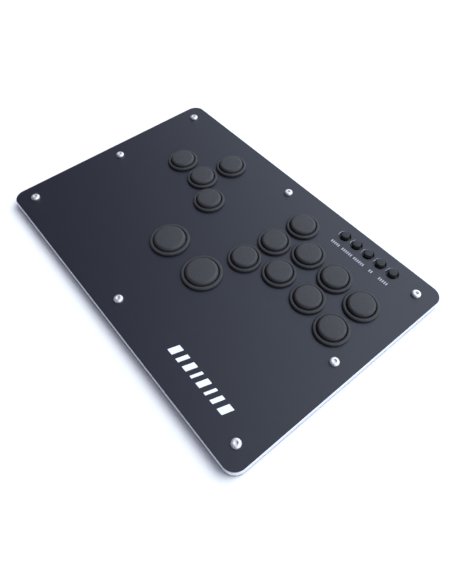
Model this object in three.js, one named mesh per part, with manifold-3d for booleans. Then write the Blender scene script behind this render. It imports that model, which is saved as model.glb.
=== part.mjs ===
// All-button arcade controller: a flat case with fifteen round arcade buttons and five small option
// buttons. Millimetres, +X to the user's right, +Y away from the user, +Z up. The origin is on the
// table under the centre of the case.
import * as THREE from "three";
import { mergeVertices } from "three/addons/utils/BufferGeometryUtils.js";
import Module from "manifold-3d";

// ---- Driving dimensions -------------------------------------------------------------------------

const CASE_LENGTH = 300;
const CASE_DEPTH = 200;
const CORNER_RADIUS = 10;
const CORNER_STEPS = 6;

// Heights of the layers, from the table up.
const FOOT_HEIGHT = 1.5;
const BOTTOM_THICKNESS = 1;
const FRAME_HEIGHT = 4.5;
const TOP_THICKNESS = 2;
const BOTTOM_Z = FOOT_HEIGHT;
const FRAME_Z = BOTTOM_Z + BOTTOM_THICKNESS;
const TOP_PLATE_Z = FRAME_Z + FRAME_HEIGHT;
const FACE_Z = TOP_PLATE_Z + TOP_THICKNESS;

const EDGE_CHAMFER = 0.5;
const FITTING_GAP = 0.3;

// Case frame: a wall round the edge with a boss at every case screw.
const WALL = 4;
const BOSS_RADIUS = 5;
const SCREW_INSET = 15;
const FRONT_JOINT_Y = -76;
const REAR_JOINT_Y = 57;

// Case screws: M4 button heads with a hexagon socket.
const SCREW_RADIUS = 2;
const SCREW_LENGTH = 7;
const SCREW_HEAD_RADIUS = 3.75;
const SCREW_HEAD_HEIGHT = 2.2;
const SOCKET_ACROSS_FLATS = 2.5;
const SOCKET_DEPTH = 1.3;
const SCREW_SIDES = 10;

// Feet.
const FOOT_RADIUS = 7;
const FOOT_X = 116;
const FOOT_Y = 84;
const FOOT_SIDES = 16;

// Arcade buttons. A collar snaps into the top plate and a plunger slides in it.
const COLLAR_HEIGHT = 2.5;
const COLLAR_TAIL = 2;
const COLLAR_EDGE = 0.9;
const COLLAR_LIP = 0.6;
const PLUNGER_RISE = 5;
const PLUNGER_SKIRT_DEPTH = 0.8;
const PLUNGER_EDGE = 1.1;
const PLUNGER_CEILING = 1.6;
const BUTTON_SIDES = 16;
const SMALL = { hole: 12.15, barrel: 11.85, flange: 13.4, bore: 10.75, plunger: 10.25, skirt: 9.25 };
const LARGE = { hole: 15.15, barrel: 14.85, flange: 16.2, bore: 13.3, plunger: 12.8, skirt: 11.7 };

const BUTTONS = [
  { name: "up", x: -56.8, y: 68, size: SMALL },
  { name: "left", x: -90.8, y: 39.5, size: SMALL },
  { name: "down", x: -61.8, y: 39.5, size: SMALL },
  { name: "right", x: -36.2, y: 27, size: SMALL },
  { name: "thumb_left", x: -21.6, y: -23.8, size: LARGE },
  { name: "thumb_right", x: 20.5, y: -23.8, size: LARGE },
  { name: "action_1", x: 35.5, y: 67.3, size: SMALL },
  { name: "action_2", x: 33, y: 38.7, size: SMALL },
  { name: "action_3", x: 30.3, y: 10, size: SMALL },
  { name: "action_4", x: 59.3, y: 49.9, size: SMALL },
  { name: "action_5", x: 57.6, y: 21, size: SMALL },
  { name: "action_6", x: 87.7, y: 49.3, size: SMALL },
  { name: "action_7", x: 87.7, y: 21.3, size: SMALL },
  { name: "action_8", x: 116.7, y: 46.2, size: SMALL },
  { name: "action_9", x: 116.5, y: 16.2, size: SMALL },
];

// Option buttons: one straight row of small round caps.
const OPTION_COUNT = 5;
const OPTION_FIRST_X = 64;
const OPTION_PITCH = 12;
const OPTION_Y = 86.6;
const OPTION_HOLE_RADIUS = 4.9;
const OPTION_CAP_RADIUS = 3.4;
const OPTION_RISE = 2.3;
const OPTION_FLANGE_RADIUS = 5.6;
const OPTION_FLANGE_THICKNESS = 0.6;
const OPTION_EDGE = 0.6;
const OPTION_SIDES = 12;

// Switch board: one circuit board with a low-profile switch under every plunger and a tactile
// switch under every option cap.
const BOARD_THICKNESS = 1.2;
const PAD_HEIGHT = 0.4;
const PAD_RADIUS = 3.5;
const BOARD_Z = FRAME_Z + PAD_HEIGHT;
const BOARD_TOP_Z = BOARD_Z + BOARD_THICKNESS;
const BOARD_LEFT = -104;
const BOARD_RIGHT = 127;
const BOARD_FRONT = -42;
const BOARD_BACK = 92.5;
const BOARD_NOTCH_HALF = 7;
const BOARD_NOTCH_Y = 78;
const SWITCH_WIDTH = 12.8;
const SWITCH_HEIGHT = 5;
const SWITCH_FLOOR = 0.9;
const STEM_WIDTH = 10;
const STEM_DEPTH = 4.4;
const STEM_REACH = 1.2;
const STEM_GAP = 0.4;
const TACT_WIDTH = 6;
const TACT_HEIGHT = 1.3;
const TACT_FLOOR = 0.2;
const TACT_WELL = 3.8;
const TACT_STEM_RADIUS = 1.5;
const TACT_STEM_REACH = 0.4;

// Board screws: M2.5 pan heads into the pads of the bottom plate.
const BOARD_SCREW_INSET = 6;
const BOARD_SCREW_RADIUS = 1.25;
const BOARD_SCREW_HEAD_RADIUS = 2.4;
const BOARD_SCREW_HEAD_HEIGHT = 1.2;
const BOARD_SCREW_BITE = 1.1;

// Controller chip and cable socket.
const CHIP_WIDTH = 7;
const CHIP_HEIGHT = 0.9;
const CHIP_X = -10;
const CHIP_Y = 55;
const USB_X = -60;
const USB_WIDTH = 9;
const USB_HEIGHT = 3.2;
const USB_LENGTH = 9;
const USB_WALL = 0.35;
const USB_RECESS = 0.4;
const USB_TONGUE_WIDTH = 6.6;
const USB_TONGUE_HEIGHT = 0.7;
const USB_TONGUE_SETBACK = 1;
const USB_WINDOW_GAP = 0.2;

// ---- Solid helpers ------------------------------------------------------------------------------

const wasm = await Module();
wasm.setup();

// Turns a closed three.js geometry into a manifold solid.
function solidOf(geometry) {
  const plain = geometry.clone();
  plain.deleteAttribute("normal");
  plain.deleteAttribute("uv");
  const merged = mergeVertices(plain, 1e-4);
  const triangles = [];
  for (let i = 0; i < merged.index.count; i += 3) {
    const [a, b, c] = [0, 1, 2].map((k) => merged.index.getX(i + k));
    if (a !== b && b !== c && c !== a) {
      triangles.push(a, b, c);
    }
  }
  const mesh = new wasm.Mesh({
    numProp: 3,
    vertProperties: new Float32Array(merged.attributes.position.array),
    triVerts: new Uint32Array(triangles),
  });
  return new wasm.Manifold(mesh);
}

// Turns a manifold solid back into a three.js geometry.
function geometryOf(solid) {
  const mesh = solid.getMesh();
  const geometry = new THREE.BufferGeometry();
  geometry.setAttribute("position", new THREE.BufferAttribute(mesh.vertProperties, 3));
  geometry.setIndex(new THREE.BufferAttribute(mesh.triVerts, 1));
  geometry.computeVertexNormals();
  return geometry;
}

// A solid of revolution about Z from [radius, height] points, listed anticlockwise.
function turned(points, sides) {
  const profile = points.map(([radius, height]) => new THREE.Vector2(radius, height));
  return solidOf(new THREE.LatheGeometry(profile, sides).rotateX(Math.PI / 2));
}

// A straight prism of a flat outline, standing on height z.
function prism(shape, z, height) {
  const settings = { depth: height, bevelEnabled: false, curveSegments: CORNER_STEPS };
  return solidOf(new THREE.ExtrudeGeometry(shape, settings).translate(0, 0, z));
}

// A box from its two corners.
function block(low, high) {
  const size = high.map((value, axis) => value - low[axis]);
  const centre = high.map((value, axis) => (value + low[axis]) / 2);
  return solidOf(new THREE.BoxGeometry(...size).translate(...centre));
}

// An upright cylinder from height low to height high.
function post(x, y, radius, low, high, sides) {
  const geometry = new THREE.CylinderGeometry(radius, radius, high - low, sides);
  return solidOf(geometry.rotateX(Math.PI / 2).translate(x, y, (low + high) / 2));
}

// A rectangle with round corners, centred on the origin.
function roundedRectangle(width, height, radius) {
  const x = width / 2 - radius;
  const y = height / 2 - radius;
  const shape = new THREE.Shape();
  shape.absarc(x, y, radius, 0, Math.PI / 2);
  shape.absarc(-x, y, radius, Math.PI / 2, Math.PI);
  shape.absarc(-x, -y, radius, Math.PI, Math.PI * 1.5);
  shape.absarc(x, -y, radius, Math.PI * 1.5, Math.PI * 2);
  shape.closePath();
  return shape;
}

function joined(solids) {
  return solids.reduce((whole, solid) => whole.add(solid));
}

function cut(solid, tools) {
  return tools.reduce((rest, tool) => rest.subtract(tool), solid);
}

// ---- Finishes -----------------------------------------------------------------------------------

function finish(colour, roughness, metalness) {
  return new THREE.MeshStandardMaterial({ color: colour, roughness, metalness });
}

const FACE_BLACK = () => finish(0x22242b, 0.5, 0.1);
const FRAME_SILVER = () => finish(0xd8dbe2, 0.35, 1);
const BUTTON_BLACK = () => finish(0x2b2b2d, 0.6, 0);
const STEEL = () => finish(0xdedfe2, 0.22, 1);
const RUBBER = () => finish(0x151515, 0.85, 0);
const BOARD_BLACK = () => finish(0x1a2620, 0.5, 0);
const CHIP_BLACK = () => finish(0x101012, 0.45, 0);

const controller = new THREE.Group();

// Adds one named piece, either where its solid already lies or moved to a place.
function addPiece(name, solid, material, place = [0, 0, 0]) {
  const mesh = new THREE.Mesh(geometryOf(solid), material);
  mesh.name = name;
  mesh.position.set(...place);
  controller.add(mesh);
}

// ---- Places worked out from the driving dimensions ----------------------------------------------

const SCREW_X = CASE_LENGTH / 2 - SCREW_INSET;
const SCREW_Y = CASE_DEPTH / 2 - SCREW_INSET;
const SCREW_PLACES = [
  [-SCREW_X, -SCREW_Y], [0, -SCREW_Y], [SCREW_X, -SCREW_Y],
  [-SCREW_X, 0], [SCREW_X, 0],
  [-SCREW_X, SCREW_Y], [0, SCREW_Y], [SCREW_X, SCREW_Y],
];
const OPTION_XS = Array.from({ length: OPTION_COUNT }, (_, i) => OPTION_FIRST_X + i * OPTION_PITCH);
const PAD_PLACES = [
  [BOARD_LEFT + BOARD_SCREW_INSET, BOARD_FRONT + BOARD_SCREW_INSET],
  [BOARD_RIGHT - BOARD_SCREW_INSET, BOARD_FRONT + BOARD_SCREW_INSET],
  [BOARD_LEFT + BOARD_SCREW_INSET, BOARD_BACK - BOARD_SCREW_INSET],
  [BOARD_RIGHT - BOARD_SCREW_INSET, BOARD_BACK - BOARD_SCREW_INSET],
];
const USB_Z = (FRAME_Z + TOP_PLATE_Z) / 2;
const USB_INNER_END = CASE_DEPTH / 2 - USB_RECESS - USB_LENGTH;

// Clearance holes for the case screws through one layer.
function screwHoles(low, high) {
  return SCREW_PLACES.map(([x, y]) => post(x, y, SCREW_RADIUS + FITTING_GAP, low, high, SCREW_SIDES));
}

// ---- Case ---------------------------------------------------------------------------------------

// Top plate: chamfered upper edge, a hole for every button, option cap and screw.
function topPlate() {
  const outline = roundedRectangle(CASE_LENGTH, CASE_DEPTH, CORNER_RADIUS);
  const settings = {
    depth: TOP_THICKNESS,
    bevelThickness: EDGE_CHAMFER,
    bevelSize: EDGE_CHAMFER,
    bevelOffset: -EDGE_CHAMFER,
    bevelSegments: 1,
    curveSegments: CORNER_STEPS,
  };
  const blank = new THREE.ExtrudeGeometry(outline, settings);
  blank.translate(0, 0, FACE_Z - TOP_THICKNESS - EDGE_CHAMFER);
  const waste = block([-CASE_LENGTH, -CASE_DEPTH, 0], [CASE_LENGTH, CASE_DEPTH, TOP_PLATE_Z]);
  const low = TOP_PLATE_Z - 1;
  const high = FACE_Z + 1;
  const buttonHoles = BUTTONS.map(({ x, y, size }) => post(x, y, size.hole, low, high, BUTTON_SIDES));
  const optionHoles = OPTION_XS.map((x) => (
    post(x, OPTION_Y, OPTION_HOLE_RADIUS, low, high, OPTION_SIDES)
  ));
  return cut(solidOf(blank), [waste, ...buttonHoles, ...optionHoles, ...screwHoles(low, high)]);
}

// Bottom plate: raised pads carry the switch board.
function bottomPlate() {
  const outline = roundedRectangle(CASE_LENGTH, CASE_DEPTH, CORNER_RADIUS);
  const plate = prism(outline, BOTTOM_Z, BOTTOM_THICKNESS);
  const padFoot = BOTTOM_Z + BOTTOM_THICKNESS / 2;
  const pads = PAD_PLACES.map(([x, y]) => post(x, y, PAD_RADIUS, padFoot, BOARD_Z, SCREW_SIDES));
  const boardHoles = PAD_PLACES.map(([x, y]) => (
    post(x, y, BOARD_SCREW_RADIUS + FITTING_GAP, BOARD_Z - BOARD_SCREW_BITE, BOARD_Z + 1, SCREW_SIDES)
  ));
  return cut(joined([plate, ...pads]), [...boardHoles, ...screwHoles(BOTTOM_Z - 1, FRAME_Z + 1)]);
}

// The whole frame ring, before it is parted at its joints.
function frameRing() {
  const outline = roundedRectangle(CASE_LENGTH, CASE_DEPTH, CORNER_RADIUS);
  const innerLength = CASE_LENGTH - 2 * WALL;
  const innerDepth = CASE_DEPTH - 2 * WALL;
  outline.holes.push(roundedRectangle(innerLength, innerDepth, CORNER_RADIUS - WALL));
  const bosses = SCREW_PLACES.map(([x, y]) => (
    post(x, y, BOSS_RADIUS, FRAME_Z, TOP_PLATE_Z, SCREW_SIDES)
  ));
  // Each boss is tied to every wall that it stands beside.
  const ties = SCREW_PLACES.flatMap(([x, y]) => {
    const toSide = Math.sign(x) * (SCREW_INSET - WALL / 2);
    const toEnd = Math.sign(y) * (SCREW_INSET - WALL / 2);
    const sideTie = block(
      [Math.min(x, x + toSide), y - BOSS_RADIUS, FRAME_Z],
      [Math.max(x, x + toSide), y + BOSS_RADIUS, TOP_PLATE_Z],
    );
    const endTie = block(
      [x - BOSS_RADIUS, Math.min(y, y + toEnd), FRAME_Z],
      [x + BOSS_RADIUS, Math.max(y, y + toEnd), TOP_PLATE_Z],
    );
    return [...(x === 0 ? [] : [sideTie]), ...(y === 0 ? [] : [endTie])];
  });
  const window = block(
    [USB_X - USB_WIDTH / 2 - USB_WINDOW_GAP, CASE_DEPTH / 2 - WALL - 1,
      USB_Z - USB_HEIGHT / 2 - USB_WINDOW_GAP],
    [USB_X + USB_WIDTH / 2 + USB_WINDOW_GAP, CASE_DEPTH / 2 + 1,
      USB_Z + USB_HEIGHT / 2 + USB_WINDOW_GAP],
  );
  const ring = joined([prism(outline, FRAME_Z, FRAME_HEIGHT), ...bosses, ...ties]);
  return cut(ring, [window, ...screwHoles(FRAME_Z - 1, TOP_PLATE_Z + 1)]);
}

function addCase() {
  addPiece("top_plate", topPlate(), FACE_BLACK());
  addPiece("bottom_plate", bottomPlate(), FACE_BLACK());
  const ring = frameRing();
  const half = FITTING_GAP / 2;
  const sections = {
    frame_front: [-CASE_LENGTH, CASE_LENGTH, -CASE_DEPTH, FRONT_JOINT_Y - half],
    frame_left: [-CASE_LENGTH, 0, FRONT_JOINT_Y + half, REAR_JOINT_Y - half],
    frame_right: [0, CASE_LENGTH, FRONT_JOINT_Y + half, REAR_JOINT_Y - half],
    frame_back: [-CASE_LENGTH, CASE_LENGTH, REAR_JOINT_Y + half, CASE_DEPTH],
  };
  for (const [name, [x0, x1, y0, y1]] of Object.entries(sections)) {
    addPiece(name, ring.intersect(block([x0, y0, 0], [x1, y1, CASE_DEPTH])), FRAME_SILVER());
  }
  let footNumber = 0;
  for (const y of [-FOOT_Y, FOOT_Y]) {
    for (const x of [-FOOT_X, FOOT_X]) {
      footNumber += 1;
      const foot = turned([
        [0, 0], [FOOT_RADIUS - 0.5, 0], [FOOT_RADIUS, 0.5], [FOOT_RADIUS, FOOT_HEIGHT], [0, FOOT_HEIGHT],
      ], FOOT_SIDES);
      addPiece(`foot_${footNumber}`, foot, RUBBER(), [x, y, 0]);
    }
  }
}

// ---- Fasteners ----------------------------------------------------------------------------------

// Button-head case screw, with its head's underside at height 0.
function caseScrew() {
  const tip = 0.4;
  const body = turned([
    [0, -SCREW_LENGTH], [SCREW_RADIUS - tip, -SCREW_LENGTH], [SCREW_RADIUS, tip - SCREW_LENGTH],
    [SCREW_RADIUS, 0], [SCREW_HEAD_RADIUS, 0], [SCREW_HEAD_RADIUS, 0.25 * SCREW_HEAD_HEIGHT],
    [0.8 * SCREW_HEAD_RADIUS, 0.75 * SCREW_HEAD_HEIGHT],
    [0.45 * SCREW_HEAD_RADIUS, SCREW_HEAD_HEIGHT], [0, SCREW_HEAD_HEIGHT],
  ], SCREW_SIDES);
  const socketRadius = SOCKET_ACROSS_FLATS / Math.sqrt(3);
  const socketFloor = SCREW_HEAD_HEIGHT - SOCKET_DEPTH;
  return body.subtract(post(0, 0, socketRadius, socketFloor, SCREW_HEAD_HEIGHT + 1, 6));
}

// Pan-head board screw, with its head's underside at height 0.
function boardScrew() {
  const length = BOARD_THICKNESS + BOARD_SCREW_BITE - FITTING_GAP;
  return turned([
    [0, -length], [BOARD_SCREW_RADIUS, -length], [BOARD_SCREW_RADIUS, 0],
    [BOARD_SCREW_HEAD_RADIUS, 0], [BOARD_SCREW_HEAD_RADIUS, 0.6 * BOARD_SCREW_HEAD_HEIGHT],
    [0.6 * BOARD_SCREW_HEAD_RADIUS, BOARD_SCREW_HEAD_HEIGHT], [0, BOARD_SCREW_HEAD_HEIGHT],
  ], SCREW_SIDES);
}

function addFasteners() {
  SCREW_PLACES.forEach(([x, y], i) => {
    addPiece(`case_screw_${i + 1}`, caseScrew(), STEEL(), [x, y, FACE_Z]);
  });
  PAD_PLACES.forEach(([x, y], i) => {
    addPiece(`board_screw_${i + 1}`, boardScrew(), STEEL(), [x, y, BOARD_TOP_Z]);
  });
}

// ---- Arcade buttons -----------------------------------------------------------------------------

// Collar: a rounded flange on the plate and a barrel through it, with the plate's face at height 0.
function collar(size) {
  const tail = -TOP_THICKNESS - COLLAR_TAIL;
  return turned([
    [size.bore, tail], [size.barrel, tail], [size.barrel, 0], [size.flange, 0],
    [size.flange, COLLAR_HEIGHT - COLLAR_EDGE], [size.flange - COLLAR_EDGE, COLLAR_HEIGHT],
    [size.bore + COLLAR_LIP, COLLAR_HEIGHT], [size.bore, COLLAR_HEIGHT - COLLAR_LIP],
    [size.bore, tail],
  ], BUTTON_SIDES);
}

// Plunger: a hollow cap with the switch stem under its ceiling, with the plate's face at height 0.
function plunger(size) {
  const ceiling = PLUNGER_RISE - PLUNGER_CEILING;
  const switchTop = BOARD_TOP_Z + SWITCH_HEIGHT - FACE_Z;
  const skirtEnd = -PLUNGER_SKIRT_DEPTH;
  const cap = turned([
    [size.skirt, skirtEnd], [size.plunger, skirtEnd], [size.plunger, PLUNGER_RISE - PLUNGER_EDGE],
    [size.plunger - 0.3 * PLUNGER_EDGE, PLUNGER_RISE - 0.3 * PLUNGER_EDGE],
    [size.plunger - PLUNGER_EDGE, PLUNGER_RISE], [0, PLUNGER_RISE],
    [0, ceiling], [size.skirt, ceiling], [size.skirt, skirtEnd],
  ], BUTTON_SIDES);
  const stem = block(
    [-STEM_WIDTH / 2, -STEM_DEPTH / 2, switchTop - STEM_REACH],
    [STEM_WIDTH / 2, STEM_DEPTH / 2, ceiling + PLUNGER_CEILING / 2],
  );
  return cap.add(stem);
}

function addButtons() {
  for (const { name, x, y, size } of BUTTONS) {
    addPiece(`collar_${name}`, collar(size), BUTTON_BLACK(), [x, y, FACE_Z]);
    addPiece(`plunger_${name}`, plunger(size), BUTTON_BLACK(), [x, y, FACE_Z]);
  }
}

// Option cap: the flange under the plate keeps it in, the stem enters its tactile switch.
function optionCap() {
  const flangeTop = -TOP_THICKNESS - FITTING_GAP;
  const flangeFloor = flangeTop - OPTION_FLANGE_THICKNESS;
  const stemEnd = BOARD_TOP_Z + TACT_HEIGHT - TACT_STEM_REACH - FACE_Z;
  return turned([
    [0, stemEnd], [TACT_STEM_RADIUS, stemEnd], [TACT_STEM_RADIUS, flangeFloor],
    [OPTION_FLANGE_RADIUS, flangeFloor], [OPTION_FLANGE_RADIUS, flangeTop],
    [OPTION_CAP_RADIUS, flangeTop], [OPTION_CAP_RADIUS, OPTION_RISE - OPTION_EDGE],
    [OPTION_CAP_RADIUS - OPTION_EDGE, OPTION_RISE], [0, OPTION_RISE],
  ], OPTION_SIDES);
}

function addOptionCaps() {
  OPTION_XS.forEach((x, i) => {
    addPiece(`option_cap_${i + 1}`, optionCap(), BUTTON_BLACK(), [x, OPTION_Y, FACE_Z]);
  });
}

// ---- Electronics --------------------------------------------------------------------------------

function boardOutline() {
  const shape = new THREE.Shape();
  shape.moveTo(BOARD_LEFT, BOARD_FRONT);
  shape.lineTo(BOARD_RIGHT, BOARD_FRONT);
  shape.lineTo(BOARD_RIGHT, BOARD_BACK);
  shape.lineTo(BOARD_NOTCH_HALF, BOARD_BACK);
  shape.lineTo(BOARD_NOTCH_HALF, BOARD_NOTCH_Y);
  shape.lineTo(-BOARD_NOTCH_HALF, BOARD_NOTCH_Y);
  shape.lineTo(-BOARD_NOTCH_HALF, BOARD_BACK);
  shape.lineTo(BOARD_LEFT, BOARD_BACK);
  shape.closePath();
  return shape;
}

// A soldered switch housing, open at the top where the stem enters.
function housing(x, y, width, height, wellX, wellY, floor) {
  const top = BOARD_TOP_Z + height;
  const body = block(
    [x - width / 2, y - width / 2, BOARD_TOP_Z - BOARD_THICKNESS / 2],
    [x + width / 2, y + width / 2, top],
  );
  const well = block(
    [x - wellX / 2, y - wellY / 2, BOARD_TOP_Z + floor],
    [x + wellX / 2, y + wellY / 2, top + 1],
  );
  return body.subtract(well);
}

// The switches are soldered to the board and make one piece with it.
function switchBoard() {
  const wellX = STEM_WIDTH + 2 * STEM_GAP;
  const wellY = STEM_DEPTH + 2 * STEM_GAP;
  const switches = BUTTONS.map(({ x, y }) => (
    housing(x, y, SWITCH_WIDTH, SWITCH_HEIGHT, wellX, wellY, SWITCH_FLOOR)
  ));
  const tacts = OPTION_XS.map((x) => (
    housing(x, OPTION_Y, TACT_WIDTH, TACT_HEIGHT, TACT_WELL, TACT_WELL, TACT_FLOOR)
  ));
  const holes = PAD_PLACES.map(([x, y]) => (
    post(x, y, BOARD_SCREW_RADIUS + FITTING_GAP, BOARD_Z - 1, BOARD_TOP_Z + 1, SCREW_SIDES)
  ));
  const socketNotch = block(
    [USB_X - USB_WIDTH / 2 - FITTING_GAP, USB_INNER_END, BOARD_Z - 1],
    [USB_X + USB_WIDTH / 2 + FITTING_GAP, BOARD_BACK + 1, BOARD_TOP_Z + 1],
  );
  const board = prism(boardOutline(), BOARD_Z, BOARD_THICKNESS);
  return cut(joined([board, ...switches, ...tacts]), [socketNotch, ...holes]);
}

// A flat tube with round ends, lying along +Y with its mouth at the far end.
function usbSocket() {
  const shell = roundedRectangle(USB_WIDTH, USB_HEIGHT, USB_HEIGHT / 2 - 0.1);
  const inner = [USB_WIDTH - 2 * USB_WALL, USB_HEIGHT - 2 * USB_WALL];
  const opening = roundedRectangle(...inner, USB_HEIGHT / 2 - USB_WALL - 0.1);
  const floor = 1;
  const tube = prism(shell, 0, USB_LENGTH).subtract(prism(opening, floor, USB_LENGTH));
  const tongue = block(
    [-USB_TONGUE_WIDTH / 2, -USB_TONGUE_HEIGHT / 2, floor / 2],
    [USB_TONGUE_WIDTH / 2, USB_TONGUE_HEIGHT / 2, USB_LENGTH - USB_TONGUE_SETBACK],
  );
  const socket = geometryOf(tube.add(tongue)).rotateX(-Math.PI / 2);
  return solidOf(socket.translate(USB_X, USB_INNER_END, USB_Z));
}

function addElectronics() {
  addPiece("switch_board", switchBoard(), BOARD_BLACK());
  const chip = block(
    [CHIP_X - CHIP_WIDTH / 2, CHIP_Y - CHIP_WIDTH / 2, BOARD_TOP_Z],
    [CHIP_X + CHIP_WIDTH / 2, CHIP_Y + CHIP_WIDTH / 2, BOARD_TOP_Z + CHIP_HEIGHT],
  );
  addPiece("controller_chip", chip, CHIP_BLACK());
  addPiece("usb_socket", usbSocket(), STEEL());
}

addCase();
addFasteners();
addButtons();
addOptionCaps();
addElectronics();

export default controller;
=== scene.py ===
"""Looks for an all-button arcade controller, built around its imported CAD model.

Metres, in the CAD's frame: +X to the user's right, +Y away from the user, +Z up.
"""
import math

import bpy
from mathutils import Matrix, Quaternion, Vector
from mathutils.geometry import tessellate_polygon


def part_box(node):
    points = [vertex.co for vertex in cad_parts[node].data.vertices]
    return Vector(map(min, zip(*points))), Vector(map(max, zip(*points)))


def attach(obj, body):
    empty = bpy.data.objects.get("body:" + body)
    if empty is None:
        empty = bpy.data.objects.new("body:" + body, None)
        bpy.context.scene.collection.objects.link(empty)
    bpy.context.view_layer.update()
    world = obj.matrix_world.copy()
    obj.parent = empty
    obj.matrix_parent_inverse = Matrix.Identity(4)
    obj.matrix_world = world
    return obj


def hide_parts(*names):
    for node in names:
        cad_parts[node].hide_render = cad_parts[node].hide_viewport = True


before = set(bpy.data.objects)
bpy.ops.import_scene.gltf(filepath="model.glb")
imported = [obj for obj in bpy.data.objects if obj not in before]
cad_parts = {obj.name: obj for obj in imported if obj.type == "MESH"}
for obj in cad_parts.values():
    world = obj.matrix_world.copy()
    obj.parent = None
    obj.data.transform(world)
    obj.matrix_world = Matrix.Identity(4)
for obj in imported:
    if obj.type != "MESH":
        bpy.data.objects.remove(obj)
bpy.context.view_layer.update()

MM = 0.001

# ---- Camera -------------------------------------------------------------------------------------

CAMERA_PLACE = Vector((196.86, -136.66, 294.55)) * MM
CAMERA_TARGET = Vector((45.47, -20.45, 9.51)) * MM
CAMERA_ROLL = math.radians(1.723)
CAMERA_LENS = 28.74


def add_camera():
    data = bpy.data.cameras.new("photo_camera")
    data.lens = CAMERA_LENS
    data.clip_start = 0.01
    data.clip_end = 20
    camera = bpy.data.objects.new("photo_camera", data)
    bpy.context.scene.collection.objects.link(camera)
    aim = (CAMERA_TARGET - CAMERA_PLACE).to_track_quat("-Z", "Y")
    roll = Quaternion((0, 0, 1), -CAMERA_ROLL)
    camera.rotation_mode = "QUATERNION"
    camera.rotation_quaternion = aim @ roll
    camera.location = CAMERA_PLACE
    bpy.context.scene.camera = camera


add_camera()

# ---- Node materials -----------------------------------------------------------------------------

# The part of the noise's range that is spread over a colour or a roughness.
NOISE_RANGE = (0.35, 0.65)


class Finish:
    """A procedural material: a Principled shader, with noise on its colour, roughness and bump."""

    def __init__(self, name, colour, roughness, metallic=0.0, **inputs):
        self.material = bpy.data.materials.new(name)
        self.material.use_nodes = True
        self.tree = self.material.node_tree
        self.shader = self.tree.nodes["Principled BSDF"]
        self.shader.inputs["Base Color"].default_value = (*colour, 1)
        self.shader.inputs["Roughness"].default_value = roughness
        self.shader.inputs["Metallic"].default_value = metallic
        for socket, value in inputs.items():
            self.shader.inputs[socket.replace("_", " ")].default_value = value
        self.coordinates = self.tree.nodes.new("ShaderNodeTexCoord").outputs["Object"]

    def noise(self, size, detail=2.0, stretch=(1, 1, 1)):
        """Noise with features of about this size, in millimetres, longer along stretched axes."""
        mapping = self.tree.nodes.new("ShaderNodeMapping")
        mapping.inputs["Scale"].default_value = [1 / (size * MM * s) for s in stretch]
        texture = self.tree.nodes.new("ShaderNodeTexNoise")
        texture.inputs["Scale"].default_value = 1
        texture.inputs["Detail"].default_value = detail
        self.tree.links.new(self.coordinates, mapping.inputs["Vector"])
        self.tree.links.new(mapping.outputs["Vector"], texture.inputs["Vector"])
        return texture.outputs["Fac"]

    def spread(self, fac, low, high):
        """Maps a noise value onto the range from low to high."""
        node = self.tree.nodes.new("ShaderNodeMapRange")
        node.inputs["From Min"].default_value = NOISE_RANGE[0]
        node.inputs["From Max"].default_value = NOISE_RANGE[1]
        node.inputs["To Min"].default_value = low
        node.inputs["To Max"].default_value = high
        self.tree.links.new(fac, node.inputs["Value"])
        return node.outputs["Result"]

    def vary_colour(self, fac, dark, light):
        """Runs the colour from dark to light with a noise value."""
        ramp = self.tree.nodes.new("ShaderNodeValToRGB")
        for element, position, colour in zip(ramp.color_ramp.elements, NOISE_RANGE, (dark, light)):
            element.position = position
            element.color = (*colour, 1)
        self.tree.links.new(fac, ramp.inputs["Fac"])
        self.tree.links.new(ramp.outputs["Color"], self.shader.inputs["Base Color"])

    def vary_roughness(self, fac, low, high):
        """Runs the roughness from low to high with a noise value."""
        self.tree.links.new(self.spread(fac, low, high), self.shader.inputs["Roughness"])

    def bump(self, fac, depth):
        """Adds relief of this depth in millimetres."""
        node = self.tree.nodes.new("ShaderNodeBump")
        node.inputs["Strength"].default_value = 1
        node.inputs["Distance"].default_value = depth * MM
        self.tree.links.new(fac, node.inputs["Height"])
        self.tree.links.new(node.outputs["Normal"], self.shader.inputs["Normal"])


def make_face_black_with_painted_blue():
    """Matt coating whose colour holds a painted blue reflection of its surroundings, and a very fine
    grain.
    """
    finish = Finish("powder_coat_with_painted_blue", (0.0085, 0.0095, 0.0165), 0.4, Specular_IOR_Level=0.75)
    finish.vary_colour(finish.noise(9, 3), (0.0081, 0.009, 0.0157), (0.0089, 0.01, 0.0173))
    finish.vary_roughness(finish.noise(2.2, 3), 0.37, 0.43)
    finish.bump(finish.noise(0.28, 1.5), 0.010)
    return finish.material


def make_base_black():
    finish = Finish("base_powder_coat", (0.02, 0.02, 0.022), 0.5)
    finish.vary_roughness(finish.noise(2.2, 3), 0.46, 0.56)
    finish.bump(finish.noise(0.28, 1.5), 0.012)
    return finish.material


def make_cut_edge():
    finish = Finish("bare_cut_metal", (0.78, 0.79, 0.83), 0.3, metallic=1.0)
    finish.vary_roughness(finish.noise(0.5, 2), 0.25, 0.35)
    finish.bump(finish.noise(0.12, 2, stretch=(1, 1, 14)), 0.004)
    return finish.material


def make_frame_silver():
    finish = Finish("blasted_aluminium", (0.76, 0.77, 0.81), 0.35, metallic=1.0)
    finish.vary_colour(finish.noise(7, 3), (0.75, 0.76, 0.8), (0.77, 0.78, 0.82))
    finish.vary_roughness(finish.noise(1.5, 3), 0.3, 0.4)
    finish.bump(finish.noise(0.16, 1), 0.006)
    return finish.material


def make_plastic(name, dark, light, low, high):
    """Matt moulded plastic with the fine texture of a spark-eroded mould."""
    finish = Finish(name, light, high, IOR=1.5)
    finish.vary_colour(finish.noise(1.6, 3), dark, light)
    finish.vary_roughness(finish.noise(0.9, 2), low, high)
    finish.bump(finish.noise(0.16, 1.5), 0.012)
    return finish.material


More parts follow.
